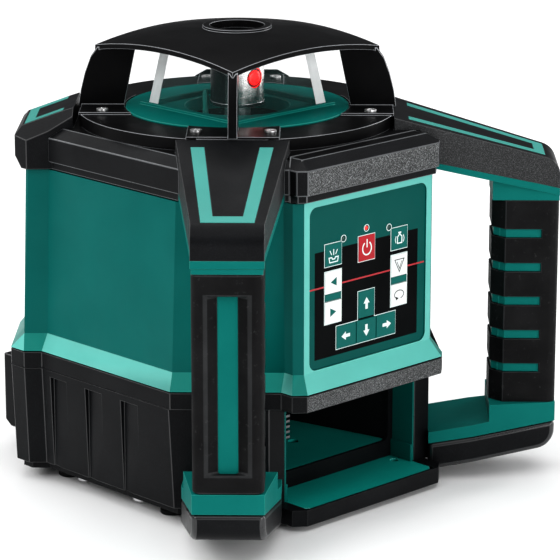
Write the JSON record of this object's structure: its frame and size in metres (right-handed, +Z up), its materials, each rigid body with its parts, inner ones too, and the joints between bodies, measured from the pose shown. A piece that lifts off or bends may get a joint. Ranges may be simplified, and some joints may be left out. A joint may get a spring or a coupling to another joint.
{
  "type": "rotary laser level",
  "caption": "Rotary laser level: green and black housing with two side handles, keypad, open battery bay, self-levelling rotor and a roof cage over a glass window.",
  "frame": {"origin": "mouth of the tripod thread, in the middle of the underside, level with the soles of the feet", "axes": "+Z up along the spin axis, front with the keypad and battery bay faces -Y, +X to the right seen from behind the origin looking along +Y"},
  "size_m": [0.226, 0.2127, 0.2066],
  "materials": {
    "m00_moulded_matte_plastic": "moulded green plastic with a fine grain",
    "m01_black_matte_plastic": "black moulded plastic with a fine grain",
    "m02_machined_aluminium": "machined aluminium",
    "m03_matt_rubber": "matt black rubber",
    "m04_plated_brushed_steel": "plated steel",
    "m05_clear_glass": "clear glass",
    "m06_smooth_matte_plastic": "smooth dark green film",
    "m07_green_gloss_plastic": "green circuit board",
    "m08_clear_gloss_plastic": "clear red lens",
    "m09_green_matte_plastic": "green satin key",
    "m10_red_matte_plastic": "red satin key",
    "m11_white_matte_plastic": "white satin key",
    "m12_light_matte_plastic": "light green satin inlay",
    "m13_cast_cast_iron": "cast metal",
    "m14_machined_brass": "machined brass",
    "m15_polished_chrome": "polished metal"
  },
  "bodies": {
    "body": {"housing_shell": "m00_moulded_matte_plastic", "base_shell": "m01_black_matte_plastic", "bottom_plate": "m01_black_matte_plastic", "tray_plate": "m00_moulded_matte_plastic", "tripod_insert": "m02_machined_aluminium", "rear_mount_block": "m01_black_matte_plastic", "rear_insert": "m02_machined_aluminium", "feet": "m03_matt_rubber", "case_screws": "m04_plated_brushed_steel", "top_cap": "m01_black_matte_plastic", "case_seals": "m03_matt_rubber", "window_deck": "m00_moulded_matte_plastic", "window_glass": "m05_clear_glass", "cage": "m01_black_matte_plastic", "cage_screws": "m04_plated_brushed_steel", "keypad_overlay": "m06_smooth_matte_plastic", "keypad_board": "m07_green_gloss_plastic", "status_leds": "m08_clear_gloss_plastic", "bay_frame": "m06_smooth_matte_plastic", "battery_liner": "m01_black_matte_plastic", "bay_floor": "m00_moulded_matte_plastic", "bay_contacts": "m04_plated_brushed_steel", "main_board": "m07_green_gloss_plastic", "handle_core_left": "m00_moulded_matte_plastic", "handle_core_right": "m00_moulded_matte_plastic", "arm_cover_left": "m01_black_matte_plastic", "arm_cover_right": "m01_black_matte_plastic", "grip_left": "m03_matt_rubber", "grip_right": "m03_matt_rubber", "handle_foot_left": "m01_black_matte_plastic", "handle_foot_right": "m01_black_matte_plastic", "inlays": "m12_light_matte_plastic", "corner_bumpers": "m01_black_matte_plastic", "chassis_frame": "m13_cast_cast_iron", "level_motors": "m02_machined_aluminium"},
    "gimbal": {"gimbal_ring": "m02_machined_aluminium"},
    "carrier": {"laser_carrier": "m01_black_matte_plastic", "laser_module": "m14_machined_brass", "bearings": "m04_plated_brushed_steel", "drive_motor": "m02_machined_aluminium", "drive_belt": "m03_matt_rubber"},
    "rotor": {"spindle": "m02_machined_aluminium", "turret_shell": "m01_black_matte_plastic", "turret_face": "m15_polished_chrome", "prism": "m05_clear_glass", "exit_lens": "m05_clear_glass"},
    "motor_shaft": {"motor_pulley": "m02_machined_aluminium"},
    "plunger_x": {"level_plunger_x": "m14_machined_brass"},
    "plunger_y": {"level_plunger_y": "m14_machined_brass"},
    "key_lamp": {"key_lamp": "m09_green_matte_plastic"},
    "key_power": {"key_power": "m10_red_matte_plastic"},
    "key_shock": {"key_shock": "m09_green_matte_plastic"},
    "key_scan_left": {"key_scan_left": "m11_white_matte_plastic"},
    "key_scan_right": {"key_scan_right": "m11_white_matte_plastic"},
    "key_scan_angle": {"key_scan_angle": "m11_white_matte_plastic"},
    "key_speed": {"key_speed": "m11_white_matte_plastic"},
    "key_up": {"key_up": "m09_green_matte_plastic"},
    "key_left": {"key_left": "m09_green_matte_plastic"},
    "key_down": {"key_down": "m09_green_matte_plastic"},
    "key_right": {"key_right": "m09_green_matte_plastic"}
  },
  "joints": [
    {"name": "tilt_x", "type": "hinge", "parent": "body", "child": "gimbal", "pos_m": [0, 0, 0.125], "axis": [1, 0, 0], "range_deg": [-5, 5]},
    {"name": "tilt_y", "type": "hinge", "parent": "gimbal", "child": "carrier", "pos_m": [0, 0, 0.125], "axis": [0, 1, 0], "range_deg": [-5, 5]},
    {"name": "spin", "type": "hinge", "parent": "carrier", "child": "rotor", "pos_m": [0, 0, 0.16], "axis": [0, 0, 1], "continuous": true},
    {"name": "motor_spin", "type": "hinge", "parent": "carrier", "child": "motor_shaft", "pos_m": [-0.021, 0, 0.15], "axis": [0, 0, 1], "continuous": true},
    {"name": "plunger_x_slide", "type": "slide", "parent": "body", "child": "plunger_x", "axis": [0, 0, 1], "range_m": [-0.00475, 0.00475]},
    {"name": "plunger_y_slide", "type": "slide", "parent": "body", "child": "plunger_y", "axis": [0, 0, 1], "range_m": [-0.00475, 0.00475]},
    {"name": "key_lamp_press", "type": "slide", "parent": "body", "child": "key_lamp", "axis": [0, 1, 0], "range_m": [0, 0.0005], "stiffness_N_per_m": 1500},
    {"name": "key_power_press", "type": "slide", "parent": "body", "child": "key_power", "axis": [0, 1, 0], "range_m": [0, 0.0005], "stiffness_N_per_m": 1500},
    {"name": "key_shock_press", "type": "slide", "parent": "body", "child": "key_shock", "axis": [0, 1, 0], "range_m": [0, 0.0005], "stiffness_N_per_m": 1500},
    {"name": "key_scan_left_press", "type": "slide", "parent": "body", "child": "key_scan_left", "axis": [0, 1, 0], "range_m": [0, 0.0005], "stiffness_N_per_m": 1500},
    {"name": "key_scan_right_press", "type": "slide", "parent": "body", "child": "key_scan_right", "axis": [0, 1, 0], "range_m": [0, 0.0005], "stiffness_N_per_m": 1500},
    {"name": "key_scan_angle_press", "type": "slide", "parent": "body", "child": "key_scan_angle", "axis": [0, 1, 0], "range_m": [0, 0.0005], "stiffness_N_per_m": 1500},
    {"name": "key_speed_press", "type": "slide", "parent": "body", "child": "key_speed", "axis": [0, 1, 0], "range_m": [0, 0.0005], "stiffness_N_per_m": 1500},
    {"name": "key_up_press", "type": "slide", "parent": "body", "child": "key_up", "axis": [0, 1, 0], "range_m": [0, 0.0005], "stiffness_N_per_m": 1500},
    {"name": "key_left_press", "type": "slide", "parent": "body", "child": "key_left", "axis": [0, 1, 0], "range_m": [0, 0.0005], "stiffness_N_per_m": 1500},
    {"name": "key_down_press", "type": "slide", "parent": "body", "child": "key_down", "axis": [0, 1, 0], "range_m": [0, 0.0005], "stiffness_N_per_m": 1500},
    {"name": "key_right_press", "type": "slide", "parent": "body", "child": "key_right", "axis": [0, 1, 0], "range_m": [0, 0.0005], "stiffness_N_per_m": 1500}
  ],
  "couplings": [
    {"joint": "motor_spin", "follows": "spin", "ratio": 2.5},
    {"joint": "plunger_x_slide", "follows": "tilt_x", "m_per_rad": 0.054},
    {"joint": "plunger_y_slide", "follows": "tilt_y", "m_per_rad": -0.054}
  ]
}
